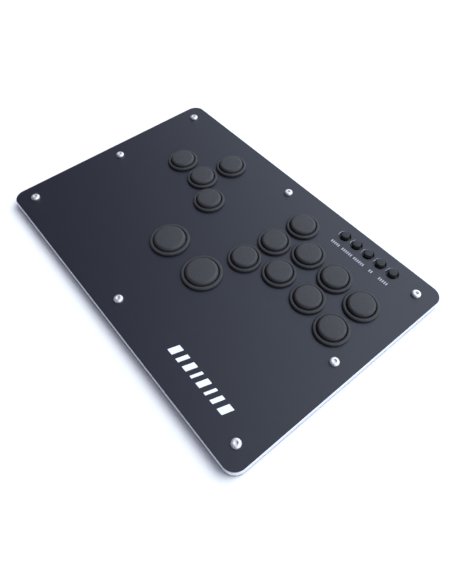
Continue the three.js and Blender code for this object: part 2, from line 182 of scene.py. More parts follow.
def make_steel():
    finish = Finish("screw_steel", (0.92, 0.9, 0.87), 0.3, metallic=0.75)
    finish.vary_roughness(finish.noise(0.35, 2), 0.22, 0.36)
    finish.bump(finish.noise(0.1, 2), 0.002)
    return finish.material


def make_rubber():
    finish = Finish("foot_rubber", (0.02, 0.02, 0.02), 0.85)
    finish.vary_roughness(finish.noise(1.2, 2), 0.78, 0.92)
    finish.bump(finish.noise(0.2, 2), 0.02)
    return finish.material


def make_print(name, colour):
    """Screen-printed ink: a little uneven and satin."""
    finish = Finish(name, colour, 0.5)
    finish.vary_colour(finish.noise(0.7, 3), [c * 0.93 for c in colour], colour)
    finish.vary_roughness(finish.noise(0.5, 2), 0.42, 0.58)
    finish.bump(finish.noise(0.2, 2), 0.003)
    return finish.material


def make_floor():
    finish = Finish("studio_floor", (0.92, 0.92, 0.92), 0.9)
    finish.vary_roughness(finish.noise(40, 2), 0.85, 0.95)
    return finish.material


FACE_BLACK = make_face_black_with_painted_blue()
BASE_BLACK = make_base_black()
CUT_EDGE = make_cut_edge()
FRAME_SILVER = make_frame_silver()
COLLAR_BLACK = make_plastic("collar_plastic", (0.030, 0.030, 0.031), (0.036, 0.036, 0.037), 0.5, 0.6)
PLUNGER_BLACK = make_plastic("plunger_plastic", (0.034, 0.034, 0.036), (0.041, 0.041, 0.043), 0.5, 0.6)
OPTION_BLACK = make_plastic("option_plastic", (0.012, 0.012, 0.013), (0.016, 0.016, 0.017), 0.35, 0.5)
SCREW_STEEL = make_steel()
FOOT_RUBBER = make_rubber()
MARK_WHITE = make_print("mark_ink", (0.85, 0.87, 0.93))
LABEL_GREY = make_print("label_ink", (0.42, 0.42, 0.47))
BOARD_MASK = make_plastic("solder_mask", (0.010, 0.020, 0.014), (0.014, 0.026, 0.018), 0.3, 0.4)
CHIP_BLACK = make_plastic("chip_epoxy", (0.012, 0.012, 0.012), (0.018, 0.018, 0.018), 0.4, 0.55)

# ---- Mesh helpers -------------------------------------------------------------------------------

SHARP_ANGLE = math.radians(32)
TURN_SIDES = 96
ON_AXIS = 1e-9


def fillet(corners, steps=6, closed=False):
    """An outline from (x, y, radius) corners, with an arc at each corner that has a radius."""
    outline = []
    last = len(corners) - 1
    for i, (x, y, radius) in enumerate(corners):
        corner = Vector((x, y))
        if radius == 0 or (not closed and i in (0, last)):
            outline.append(corner)
            continue
        before = Vector(corners[i - 1][:2]) - corner
        after = Vector(corners[(i + 1) % len(corners)][:2]) - corner
        before.normalize()
        after.normalize()
        half = before.angle(after) / 2
        middle = corner + (before + after).normalized() * (radius / math.sin(half))
        start = corner + before * (radius / math.tan(half)) - middle
        end = corner + after * (radius / math.tan(half)) - middle
        swing = math.atan2(start.x * end.y - start.y * end.x, start.dot(end))
        for step in range(steps + 1):
            angle = swing * step / steps
            turned = Vector((
                start.x * math.cos(angle) - start.y * math.sin(angle),
                start.x * math.sin(angle) + start.y * math.cos(angle),
            ))
            outline.append(middle + turned)
    return outline


def circle(x, y, radius, sides=TURN_SIDES):
    angles = [2 * math.pi * i / sides for i in range(sides)]
    return [Vector((x + radius * math.cos(a), y + radius * math.sin(a))) for a in angles]


def rectangle(x, y, width, depth, radius, steps=8):
    """An anticlockwise rectangle with round corners about (x, y)."""
    half_x = width / 2
    half_y = depth / 2
    corners = [
        (x + half_x, y - half_y, radius), (x + half_x, y + half_y, radius),
        (x - half_x, y + half_y, radius), (x - half_x, y - half_y, radius),
    ]
    return fillet(corners, steps, closed=True)


class Solid:
    """Collects rings of points and the faces between them, in metres."""

    def __init__(self):
        self.points = []
        self.faces = []
        self.finishes = []
        self.smooth = []

    def add_face(self, face, finish=0, smooth=True):
        self.faces.append(face)
        self.finishes.append(finish)
        self.smooth.append(smooth)

    def ring(self, outline, z):
        """Adds a level outline and returns the indices of its points."""
        first = len(self.points)
        self.points.extend((p.x, p.y, z) for p in outline)
        return list(range(first, len(self.points)))

    def bridge(self, lower, upper, finish=0):
        """Quads between two rings of as many points, facing out when the rings run anticlockwise."""
        count = len(lower)
        for i in range(count):
            j = (i + 1) % count
            self.add_face((lower[i], lower[j], upper[j], upper[i]), finish)

    def stack(self, rings, finish=0):
        """Bridges each ring to the next one."""
        for lower, upper in zip(rings, rings[1:]):
            self.bridge(lower, upper, finish)

    def fill(self, outer, holes=(), finish=0, up=True):
        """Flat triangles inside one ring and outside the others."""
        rings = [outer, *holes]
        flat = [index for ring in rings for index in ring]
        for triangle in tessellate_polygon([[self.points[i] for i in ring] for ring in rings]):
            a, b, c = (flat[k] for k in triangle)
            ab = Vector(self.points[b]) - Vector(self.points[a])
            ac = Vector(self.points[c]) - Vector(self.points[a])
            if (ab.cross(ac).z > 0) != up:
                a, c = c, a
            self.add_face((a, b, c), finish, smooth=False)

    def turn(self, profile, x, y, sides=TURN_SIDES, steps=6, closed=False):
        """A surface of revolution from (radius, height, fillet) corners. They run round the
        section with the solid on their left: up the outside, in over the top, down the bore."""
        first = previous = None
        for radius, z in fillet(profile, steps, closed):
            if radius < ON_AXIS:
                self.points.append((x, y, z))
                current = [len(self.points) - 1]
            else:
                current = self.ring(circle(x, y, radius, sides), z)
            if previous:
                self.join_turned(previous, current)
            first = first or current
            previous = current
        if closed:
            self.join_turned(previous, first)

    def join_turned(self, previous, current):
        """Joins two rings of a turned surface; a ring of one point is a pole on the axis."""
        if len(previous) == len(current):
            self.bridge(previous, current)
        elif len(previous) == 1:
            for i in range(len(current)):
                self.add_face((previous[0], current[(i + 1) % len(current)], current[i]))
        else:
            for i in range(len(previous)):
                self.add_face((previous[i], previous[(i + 1) % len(previous)], current[0]))

    def slab(self, outline, low, high, edge=0.1 * MM, finish=0):
        """A prism with bevelled edges; outline(inset) gives its outline at an inset."""
        levels = [(edge, low), (0, low + edge), (0, high - edge), (edge, high)]
        rings = [self.ring(outline(inset), z) for inset, z in levels]
        self.stack(rings, finish)
        self.fill(rings[0], finish=finish, up=False)
        self.fill(rings[-1], finish=finish)

    def box(self, low, high, radius=0.0, edge=0.1 * MM, finish=0):
        """An upright block between two corners, with bevelled edges and round upright ones."""
        centre = (low + high) / 2
        size = high - low

        def outline(inset):
            return rectangle(centre.x, centre.y, size.x - 2 * inset, size.y - 2 * inset,
                             max(radius - inset, 0.0))

        self.slab(outline, low.z, high.z, edge, finish)

    def build(self, name, *materials, transform=None):
        mesh = bpy.data.meshes.new(name)
        mesh.from_pydata(self.points, [], self.faces)
        for item in materials:
            mesh.materials.append(item)
        mesh.polygons.foreach_set("material_index", self.finishes)
        mesh.set_sharp_from_angle(angle=SHARP_ANGLE)
        mesh.polygons.foreach_set("use_smooth", self.smooth)
        if transform:
            mesh.transform(transform)
        mesh.update()
        piece = bpy.data.objects.new(name, mesh)
        bpy.context.scene.collection.objects.link(piece)
        return piece


def place(piece, body, slot, *nodes):
    """Fastens a piece to its body and hides the CAD nodes it stands for; the slot argument is not
    used.
    """
    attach(piece, body)
    if nodes:
        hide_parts(*nodes)


def middle_of(node):
    low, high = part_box(node)
    return (low + high) / 2


def radius_of(node):
    low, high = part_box(node)
    return (high.x - low.x) / 2


# ---- Places and sizes taken from the CAD model ---------------------------------------------------

PLATE_LOW, PLATE_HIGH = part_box("top_plate")
BASE_LOW, BASE_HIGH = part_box("bottom_plate")
FRAME_LOW, FRAME_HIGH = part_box("frame_back")
USB_LOW, USB_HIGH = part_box("usb_socket")
CHIP_LOW, CHIP_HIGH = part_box("controller_chip")
FACE_Z = PLATE_HIGH.z
CASE_LENGTH = PLATE_HIGH.x - PLATE_LOW.x
CASE_DEPTH = PLATE_HIGH.y - PLATE_LOW.y
FRAME_JOINT_Y = FRAME_LOW.y
BOARD_TOP = CHIP_LOW.z


def nodes_named(start):
    return sorted(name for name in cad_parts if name.startswith(start))


COLLARS = nodes_named("collar_")
PLUNGERS = nodes_named("plunger_")
OPTIONS = nodes_named("option_cap_")
CASE_SCREWS = nodes_named("case_screw_")
BOARD_SCREWS = nodes_named("board_screw_")
FEET = nodes_named("foot_")

# The socket's section is flat by twice this on each end, between its two round corners.
SHELL_FLAT = 0.05 * MM

# ---- Case ---------------------------------------------------------------------------------------

CORNER_RADIUS = 10 * MM
CORNER_STEPS = 24
WALL = 4 * MM
SEAM = 0.05 * MM
PLATE_EDGE = 0.45 * MM
PLATE_NICK = 0.15 * MM
COLLAR_HOLE_STEP = 1.25 * MM
COLLAR_HOLE_BEVEL = 0.2 * MM
OPTION_HOLE = 4.9 * MM
OPTION_HOLE_BEVEL = 0.35 * MM
SCREW_HOLE = 2.3 * MM
SCREW_HOLE_BEVEL = 0.1 * MM
FRAME_EDGE = 0.12 * MM
FRAME_JOINT_GAP = 0.3 * MM
BOSS_RADIUS = 5 * MM
BOSS_SIDES = 48
HALFWAY = 1 * MM
WEB_HALF_WIDTH = 2 * MM
WEB_IN_WALL = 0.5 * MM
WEB_FROM_HOLE = 1.2 * MM
WINDOW_GAP = 0.2 * MM
WINDOW_REACH = 8 * MM
PAD_BORE = 1.55 * MM
PAD_RADIUS = 3.5 * MM
PAD_EDGE = 0.2 * MM


def case_outline(inset):
    width = CASE_LENGTH - 2 * inset
    depth = CASE_DEPTH - 2 * inset
    return rectangle(0, 0, width, depth, CORNER_RADIUS - inset, CORNER_STEPS)


def add_face_plate():
    """Black coated sheet with a bare bright edge all round and in every open hole."""
    solid = Solid()
    low = PLATE_LOW.z + SEAM
    levels = [(PLATE_NICK, low), (0, low + PLATE_NICK), (0, FACE_Z - PLATE_EDGE)]
    for angle in (math.radians(30), math.radians(60), math.radians(90)):
        inset = PLATE_EDGE * (1 - math.cos(angle))
        levels.append((inset, FACE_Z - PLATE_EDGE * (1 - math.sin(angle))))
    rings = [solid.ring(case_outline(inset), z) for inset, z in levels]
    solid.stack(rings, finish=1)
    holes = [(middle_of(n), radius_of(n) - COLLAR_HOLE_STEP, COLLAR_HOLE_BEVEL) for n in COLLARS]
    holes += [(middle_of(n), OPTION_HOLE, OPTION_HOLE_BEVEL) for n in OPTIONS]
    holes += [(middle_of(n), SCREW_HOLE, SCREW_HOLE_BEVEL) for n in CASE_SCREWS]
    tops = []
    bottoms = []
    for centre, radius, bevel in holes:
        top = solid.ring(circle(centre.x, centre.y, radius + bevel), FACE_Z)
        wall = solid.ring(circle(centre.x, centre.y, radius), FACE_Z - bevel)
        foot = solid.ring(circle(centre.x, centre.y, radius), low)
        solid.bridge(top, wall, finish=1)
        solid.bridge(wall, foot, finish=1)
        tops.append(top)
        bottoms.append(foot)
    solid.fill(rings[-1], tops)
    solid.fill(rings[0], bottoms, up=False)
    place(solid.build("face_plate", FACE_BLACK, CUT_EDGE), "case", "face_black", "top_plate")


def frame_outline(inset, joint_y):
    """A U seen from above, open towards +Y, with the ends of its legs at joint_y."""
    x = CASE_LENGTH / 2 - inset
    y = CASE_DEPTH / 2 - inset
    inner_x = CASE_LENGTH / 2 - WALL + inset
    inner_y = CASE_DEPTH / 2 - WALL + inset
    outer_radius = CORNER_RADIUS - inset
    inner_radius = CORNER_RADIUS - WALL + inset
    end = joint_y - inset
    return fillet([
        (-x, end, 0), (-x, -y, outer_radius), (x, -y, outer_radius), (x, end, 0),
        (inner_x, end, 0), (inner_x, -inner_y, inner_radius),
        (-inner_x, -inner_y, inner_radius), (-inner_x, end, 0),
    ], CORNER_STEPS, closed=True)


def back_frame_outline(inset):
    """The rear U, which is the front one turned round and cut shorter."""
    outline = frame_outline(inset, -FRAME_JOINT_Y - FRAME_JOINT_GAP / 2)
    return [Vector((-p.x, -p.y)) for p in outline]


def front_frame_outline(inset):
    return frame_outline(inset, FRAME_JOINT_Y - FRAME_JOINT_GAP)


def add_bosses(solid, screws):
    """A round boss for each screw, tied to the walls that it stands beside."""
    low = FRAME_LOW.z + SEAM
    high = FRAME_HIGH.z - SEAM
    for screw in screws:
        centre = middle_of(screw)
        solid.turn([
            (SCREW_HOLE, low, 0), (BOSS_RADIUS, low, 0), (BOSS_RADIUS, high, 0), (SCREW_HOLE, high, 0),
        ], centre.x, centre.y, sides=BOSS_SIDES, closed=True)
        for axis, half in ((0, CASE_LENGTH / 2), (1, CASE_DEPTH / 2)):
            # A screw halfway along a side has no wall near it on that side's axis.
            if abs(centre[axis]) < HALFWAY:
                continue
            wall = math.copysign(half - WALL + WEB_IN_WALL, centre[axis])
            near = centre[axis] + math.copysign(SCREW_HOLE + WEB_FROM_HOLE, centre[axis])
            corner_a = Vector((centre.x - WEB_HALF_WIDTH, centre.y - WEB_HALF_WIDTH, low))
            corner_b = Vector((centre.x + WEB_HALF_WIDTH, centre.y + WEB_HALF_WIDTH, high))
            corner_a[axis] = min(near, wall)
            corner_b[axis] = max(near, wall)
            solid.box(corner_a, corner_b)


def add_frame():
    """The metal band between the plates, in a front and a rear U, with the screws' bosses."""
    low = FRAME_LOW.z + SEAM
    high = FRAME_HIGH.z - SEAM
    front = Solid()
    front.slab(front_frame_outline, low, high, edge=FRAME_EDGE)
    add_bosses(front, [n for n in CASE_SCREWS if middle_of(n).y < FRAME_JOINT_Y])
    place(front.build("case_frame_main", FRAME_SILVER), "case", "frame_silver",
          "frame_front", "frame_left", "frame_right")
    back = Solid()
    back.slab(back_frame_outline, low, high, edge=FRAME_EDGE)
    piece = back.build("case_frame_rear", FRAME_SILVER)
    cut_socket_window(piece)
    bosses = Solid()
    add_bosses(bosses, [n for n in CASE_SCREWS if middle_of(n).y > FRAME_JOINT_Y])
    place(bosses.build("rear_frame_bosses", FRAME_SILVER), "case", "frame_silver")
    place(piece, "case", "frame_silver", "frame_back")


def cut_socket_window(piece):
    """Cuts a window with round ends through the rear wall, for the cable socket."""
    width = USB_HIGH.x - USB_LOW.x + 2 * WINDOW_GAP
    height = USB_HIGH.z - USB_LOW.z + 2 * WINDOW_GAP
    centre = (USB_LOW + USB_HIGH) / 2
    window = rectangle(0, 0, width, height, height / 2 - SHELL_FLAT)
    cutter = Solid()
    cutter.slab(lambda inset: window, -WINDOW_REACH, WINDOW_REACH)
    lay_down = Matrix.Rotation(math.pi / 2, 4, "X")
    move = Matrix.Translation((centre.x, CASE_DEPTH / 2, centre.z))
    tool = cutter.build("window_tool", FRAME_SILVER, transform=move @ lay_down)
    modifier = piece.modifiers.new("window", "BOOLEAN")
    modifier.operation = "DIFFERENCE"
    modifier.solver = "EXACT"
    modifier.object = tool
    graph = bpy.context.evaluated_depsgraph_get()
    cut_mesh = bpy.data.meshes.new_from_object(piece.evaluated_get(graph))
    piece.modifiers.clear()
    piece.data = cut_mesh
    bpy.data.objects.remove(tool)


def add_base_plate():
    """Black sheet under the frame, with screw holes and raised pads for the circuit board."""
    solid = Solid()
    low = BASE_LOW.z
    high = FRAME_LOW.z - SEAM
    levels = [(PLATE_NICK, low), (0, low + PLATE_NICK), (0, high - PLATE_NICK), (PLATE_NICK, high)]
    rings = [solid.ring(case_outline(inset), z) for inset, z in levels]
    solid.stack(rings)
    tops = []
    bottoms = []
    for name in CASE_SCREWS:
        centre = middle_of(name)
        tops.append(solid.ring(circle(centre.x, centre.y, SCREW_HOLE), high))
        bottoms.append(solid.ring(circle(centre.x, centre.y, SCREW_HOLE), low))
        solid.bridge(tops[-1], bottoms[-1])
    solid.fill(rings[-1], tops)
    solid.fill(rings[0], bottoms, up=False)
    pad_top = BASE_HIGH.z
    pad_root = (low + high) / 2
    for name in BOARD_SCREWS:
        centre = middle_of(name)
        solid.turn([
            (PAD_BORE, pad_root, 0), (PAD_RADIUS, pad_root, 0),
            (PAD_RADIUS, pad_top, PAD_EDGE), (PAD_BORE, pad_top, 0),
        ], centre.x, centre.y, sides=BOSS_SIDES, closed=True)
    place(solid.build("base_plate", BASE_BLACK), "case", "base_black", "bottom_plate")


def add_feet():
    """Rubber discs with a shallow hollow underneath and a slightly tapered side."""
    hollow_depth = 0.3 * MM
    hollow_edge = 2 * MM
    hollow_slope = 0.3 * MM
    taper = 0.3 * MM
    for name in FEET:
        centre = middle_of(name)
        radius = radius_of(name)
        low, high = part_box(name)
        hollow = radius - hollow_edge
        solid = Solid()
        solid.turn([
            (0, low.z + hollow_depth, 0), (hollow, low.z + hollow_depth, 0.2 * MM),
            (hollow + hollow_slope, low.z, 0.15 * MM), (radius - taper, low.z, 0.6 * MM),
            (radius, high.z, 0.05 * MM), (0, high.z, 0),
        ], centre.x, centre.y)
        place(solid.build("rubber_" + name, FOOT_RUBBER), "case", "foot_rubber", name)


# ---- Fasteners ----------------------------------------------------------------------------------

SCREW_SIDES = 48
THREAD_PITCH = 0.5 * MM
THREAD_DEPTH = 0.18 * MM
CASE_SHANK = 2 * MM
NECK_LENGTH = 1.2 * MM
HEAD_NICK = 0.15 * MM
HEAD_FLAT_RADIUS = 1.75 * MM
SOCKET_FLATS = 2.5 * MM
SOCKET_DEPTH = 1.3 * MM
SOCKET_CONE = 0.3 * MM
BOARD_SHANK = 1.25 * MM
RECESS_RADIUS = 0.8 * MM
RECESS_FLOOR_RADIUS = 0.35 * MM
RECESS_DEPTH = 0.7 * MM


def hexagon(x, y, flats, sides):
    """A hexagon given as points at the same angles as a circle's."""
    outline = []
    for point in circle(0, 0, 1, sides):
        angle = math.atan2(point.y, point.x) % (math.pi / 3) - math.pi / 6
        reach = flats / 2 / math.cos(angle)
        outline.append(Vector((x + point.x * reach, y + point.y * reach)))
    return outline


def shank_profile(radius, tip, shoulder):
    """Half section of a threaded shank from its tip up to its shoulder."""
    profile = [(0, tip, 0), (radius - THREAD_DEPTH - 0.2 * MM, tip, 0)]
    z = tip + 0.4 * MM
    while z < shoulder - THREAD_PITCH:
        profile.append((radius - THREAD_DEPTH, z, 0))
        profile.append((radius, z + THREAD_PITCH / 2, 0))
        z += THREAD_PITCH
    profile.append((radius - THREAD_DEPTH, z, 0))
    return profile


def add_case_screws():
    """Button-head screws with a hexagon socket."""
    for name in CASE_SCREWS:
        low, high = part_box(name)
        centre = middle_of(name)
        radius = radius_of(name)
        solid = Solid()
        head = high.z - FACE_Z
        profile = shank_profile(CASE_SHANK, low.z, FACE_Z - NECK_LENGTH - 0.3 * MM)
        profile += [
            (CASE_SHANK, FACE_Z - NECK_LENGTH, 0), (CASE_SHANK, FACE_Z, 0),
            (radius - HEAD_NICK, FACE_Z, 0), (radius, FACE_Z + HEAD_NICK, 0),
            (radius, high.z, head - 0.5 * MM), (HEAD_FLAT_RADIUS, high.z, 0),
        ]
        solid.turn(profile, centre.x, centre.y, sides=SCREW_SIDES, steps=8)
        outer = solid.ring(circle(centre.x, centre.y, HEAD_FLAT_RADIUS, SCREW_SIDES), high.z)
        levels = [
            (SOCKET_FLATS + 2 * HEAD_NICK, high.z), (SOCKET_FLATS, high.z - HEAD_NICK),
            (SOCKET_FLATS, high.z - SOCKET_DEPTH),
        ]
        for width, z in levels:
            inner = solid.ring(hexagon(centre.x, centre.y, width, SCREW_SIDES), z)
            solid.bridge(outer, inner)
            outer = inner
        solid.points.append((centre.x, centre.y, high.z - SOCKET_DEPTH - SOCKET_CONE))
        solid.join_turned(outer, [len(solid.points) - 1])
        place(solid.build("button_head_" + name, SCREW_STEEL), "case", "screw_steel", name)


def add_board_screws():
    """Pan heads with a round recess."""
    for name in BOARD_SCREWS:
        low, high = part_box(name)
        centre = middle_of(name)
        radius = radius_of(name)
        solid = Solid()
        recess_floor = high.z - RECESS_DEPTH
        profile = shank_profile(BOARD_SHANK, low.z, BOARD_TOP - 0.1 * MM)
        profile += [
            (BOARD_SHANK, BOARD_TOP, 0), (radius, BOARD_TOP, 0), (radius, high.z, 0.7 * MM),
            (RECESS_RADIUS, high.z, 0), (RECESS_FLOOR_RADIUS, recess_floor, 0), (0, recess_floor, 0),
        ]
        solid.turn(profile, centre.x, centre.y, sides=SCREW_SIDES)
        place(solid.build("pan_head_" + name, SCREW_STEEL), "case", "screw_steel", name)


# ---- Arcade buttons -----------------------------------------------------------------------------

BUTTON_STEPS = 10
PLUNGER_GAP = 0.5 * MM
COLLAR_OUTER_ROUND = 1.35 * MM
COLLAR_INNER_ROUND = 1.0 * MM
COLLAR_LIFT = 0.02 * MM
BARREL_STEP = 1.55 * MM
RIB_COUNT = 4
RIB_SIZE = 1.5 * MM
# The plunger's top edge is rounded by this share of its radius.
PLUNGER_ROUND_SHARE = 0.21
PLUNGER_DOME = 0.12 * MM
PLUNGER_WALL = 1.0 * MM
PLUNGER_CEILING = 1.6 * MM
PLUNGER_SKIRT_DEPTH = 0.8 * MM
STEM_HALF_X = 5 * MM
STEM_HALF_Y = 2.2 * MM
STEM_IN_CEILING = 0.4 * MM
OPTION_RADIUS = 3.4 * MM
OPTION_STEM = 1.5 * MM
OPTION_FLANGE_GAP = 0.3 * MM
OPTION_FLANGE_THICKNESS = 0.6 * MM
OPTION_DOME = 0.06 * MM


def add_collar(name):
    """The fixed ring round a plunger, with a barrel that goes down through the plate."""
    low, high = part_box(name)
    centre = middle_of(name)
    flange = radius_of(name)
    bore = radius_of(name.replace("collar", "plunger")) + PLUNGER_GAP
    barrel = flange - BARREL_STEP
    solid = Solid()
    solid.turn([
        (bore, low.z, 0.2 * MM), (barrel, low.z, 0.3 * MM), (barrel, FACE_Z + COLLAR_LIFT, 0),
        (flange - 0.25 * MM, FACE_Z + COLLAR_LIFT, 0.02 * MM), (flange, FACE_Z + 0.5 * MM, 0.4 * MM),
        (flange, high.z, COLLAR_OUTER_ROUND), (bore, high.z, COLLAR_INNER_ROUND),
    ], centre.x, centre.y, closed=True, steps=BUTTON_STEPS)
    # Ribs on the barrel that snap out under the plate.
    for i in range(RIB_COUNT):
        angle = math.pi / 4 + i * 2 * math.pi / RIB_COUNT
        reach = barrel + 0.1 * MM
        x = centre.x + math.cos(angle) * reach
        y = centre.y + math.sin(angle) * reach
        solid.box(
            Vector((x - RIB_SIZE / 2, y - RIB_SIZE / 2, low.z + 0.2 * MM)),
            Vector((x + RIB_SIZE / 2, y + RIB_SIZE / 2, PLATE_LOW.z - 0.1 * MM)),
            radius=0.3 * MM,
        )
    piece = solid.build(name.replace("collar", "button_collar"), COLLAR_BLACK)
    place(piece, "case", "collar_plastic", name)


def add_plunger(name):
    """A hollow cap with a softly rounded top edge and a flat stem that enters its switch."""
    low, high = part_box(name)
    centre = middle_of(name)
    radius = radius_of(name)
    top = high.z
    ceiling = top - PLUNGER_CEILING
    skirt = FACE_Z - PLUNGER_SKIRT_DEPTH
    bore = radius - PLUNGER_WALL
    solid = Solid()
    solid.turn([
        (0, ceiling, 0), (bore, ceiling, 0.3 * MM), (bore, skirt, 0.1 * MM),
        (radius, skirt, 0.15 * MM),
        (radius, top - PLUNGER_DOME, radius * PLUNGER_ROUND_SHARE), (0, top, 0),
    ], centre.x, centre.y, steps=BUTTON_STEPS)
    solid.box(
        Vector((centre.x - STEM_HALF_X, centre.y - STEM_HALF_Y, low.z)),
        Vector((centre.x + STEM_HALF_X, centre.y + STEM_HALF_Y, ceiling + STEM_IN_CEILING)),
        radius=0.4 * MM,
    )
    piece = solid.build(name.replace("plunger", "button_plunger"), PLUNGER_BLACK)
    place(piece, name.replace("plunger", "button"), "plunger_plastic", name)


def add_option_cap(name, number):
    """A small round cap, with a flange that keeps it under the plate and a stem below."""
    low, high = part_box(name)
    centre = middle_of(name)
    flange = radius_of(name)
    flange_top = PLATE_LOW.z - OPTION_FLANGE_GAP
    flange_low = flange_top - OPTION_FLANGE_THICKNESS
    solid = Solid()
    solid.turn([
        (0, low.z, 0), (OPTION_STEM, low.z, 0.1 * MM), (OPTION_STEM, flange_low, 0),
        (flange, flange_low, 0.1 * MM), (flange, flange_top, 0.1 * MM),
        (OPTION_RADIUS, flange_top, 0), (OPTION_RADIUS, high.z - OPTION_DOME, 0.6 * MM),
        (0, high.z, 0),
    ], centre.x, centre.y)
    piece = solid.build(f"option_button_{number}", OPTION_BLACK)
    place(piece, f"option_{number}", "option_plastic", name)


def add_buttons():
    for name in COLLARS:
        add_collar(name)
    for name in PLUNGERS:
        add_plunger(name)
    for number, name in enumerate(OPTIONS, 1):
        add_option_cap(name, number)


# ---- Printed marks ------------------------------------------------------------------------------

INK_HEIGHT = 0.03 * MM
INK_CORNER = 0.3 * MM
MARK_X = (56.3 * MM, 118.3 * MM)
MARK_Y = (-80.7 * MM, -72.3 * MM)
MARK_SLANT = 2.6 * MM
MARK_BARS = (5.2, 3.4, 4.6, 2.4, 4.6, 2.4, 3.4, 5.2)
LABEL_Y = 75.6 * MM
TICK_HEIGHT = 2.6 * MM
TICK_WIDTH = 0.95 * MM
TICK_PITCH = 1.75 * MM
TICK_COUNTS = (5, 6, 6, 2, 5)


def add_ink(solid, outline):
    """A patch of ink that stands just proud of the face, and starts just below it."""
    bottom = solid.ring(outline, FACE_Z - INK_HEIGHT)
    top = solid.ring(outline, FACE_Z + INK_HEIGHT)
    solid.bridge(bottom, top)
    solid.fill(bottom, up=False)
    solid.fill(top)


def add_face_mark():
    """A plain row of slanted bars of unequal width."""
    solid = Solid()
    length = MARK_X[1] - MARK_X[0] - MARK_SLANT
    gap = (length - sum(MARK_BARS) * MM) / (len(MARK_BARS) - 1)
    x = MARK_X[0]
    for width in MARK_BARS:
        right = x + width * MM
        corners = [
            (x, MARK_Y[0], INK_CORNER), (right, MARK_Y[0], INK_CORNER),
            (right + MARK_SLANT, MARK_Y[1], INK_CORNER), (x + MARK_SLANT, MARK_Y[1], INK_CORNER),
        ]
        add_ink(solid, fillet(corners, closed=True))
        x = right + gap
    place(solid.build("face_mark", MARK_WHITE), "case", "face_black")


def add_option_labels():
    """Rows of small ticks in front of the option buttons."""
    solid = Solid()
    for name, count in zip(OPTIONS, TICK_COUNTS):
        first = middle_of(name).x - (count - 1) * TICK_PITCH / 2
        for i in range(count):
            x = first + i * TICK_PITCH
            add_ink(solid, rectangle(x, LABEL_Y, TICK_WIDTH, TICK_HEIGHT, INK_CORNER, steps=4))
    place(solid.build("option_labels", LABEL_GREY), "case", "face_black")


# ---- Electronics --------------------------------------------------------------------------------

SHELL_WALL = 0.35 * MM
SHELL_FLOOR = 1 * MM
TONGUE_HALF_X = 3.3 * MM
TONGUE_HALF_Z = 0.35 * MM
TONGUE_SHORTER = 1 * MM
BOARD_THICKNESS = 1.2 * MM
BOARD_CORNER = 2 * MM
NOTCH_HALF = 7 * MM
NOTCH_END = 78 * MM
NOTCH_CORNER = 1 * MM
SOCKET_GAP = 0.3 * MM
# Switch housings: width, height, the lid's height, the well's width, its depth along Y, its floor.
KEY_SWITCH = [size * MM for size in (12.8, 5, 1.2, 10.8, 5.2, 0.9)]
TACT_SWITCH = [size * MM for size in (6, 1.3, 0.3, 3.8, 3.8, 0.2)]
WELL_CORNER = 0.5 * MM
PINS_PER_SIDE = 8
PIN_REACH = 0.5 * MM
PIN_HALF_WIDTH = 0.15 * MM
PIN_HEIGHT = 0.3 * MM


def add_usb_socket():
    """Drawn steel shell with a tongue inside, lying along Y with its mouth at the back."""
    centre = (USB_LOW + USB_HIGH) / 2
    width = USB_HIGH.x - USB_LOW.x
    height = USB_HIGH.z - USB_LOW.z
    length = USB_HIGH.y - USB_LOW.y

    def shell(inset):
        radius = height / 2 - SHELL_FLAT - inset
        return rectangle(0, 0, width - 2 * inset, height - 2 * inset, radius)

    solid = Solid()
    levels = [
        (0.2 * MM, 0), (0, 0.2 * MM), (0, length - 0.1 * MM), (0.1 * MM, length),
        (SHELL_WALL - 0.05 * MM, length), (SHELL_WALL, length - 0.15 * MM), (SHELL_WALL, SHELL_FLOOR),
    ]
    rings = [solid.ring(shell(inset), z) for inset, z in levels]
    solid.stack(rings)
    solid.fill(rings[0], up=False)
    solid.fill(rings[-1])
    solid.box(
        Vector((-TONGUE_HALF_X, -TONGUE_HALF_Z, SHELL_FLOOR)),
        Vector((TONGUE_HALF_X, TONGUE_HALF_Z, length - TONGUE_SHORTER)),
        finish=1,
    )
    lay_down = Matrix.Rotation(-math.pi / 2, 4, "X")
    move = Matrix.Translation((centre.x, USB_LOW.y, centre.z))
    piece = solid.build("cable_socket", SCREW_STEEL, CHIP_BLACK, transform=move @ lay_down)
    place(piece, "case", "socket_steel", "usb_socket")


def build_switch(name, material, centre, sizes):
    """A switch housing on the board with a tapered lid, and a well in it for the cap's stem."""
    width, height, lid, well_width, well_depth, floor = sizes
    top = BOARD_TOP + height
    levels = [(0, BOARD_TOP), (0, top - lid), (lid / 4, top - lid), (lid / 2, top)]
    solid = Solid()
    rings = []
    for inset, z in levels:
        side = width - 2 * inset
        rings.append(solid.ring(rectangle(centre.x, centre.y, side, side, width / 16), z))
    for z in (top, BOARD_TOP + floor):
        rings.append(solid.ring(rectangle(centre.x, centre.y, well_width, well_depth, WELL_CORNER), z))
    solid.stack(rings)
    solid.fill(rings[0], up=False)
    solid.fill(rings[-1])
    return solid.build(name, material)


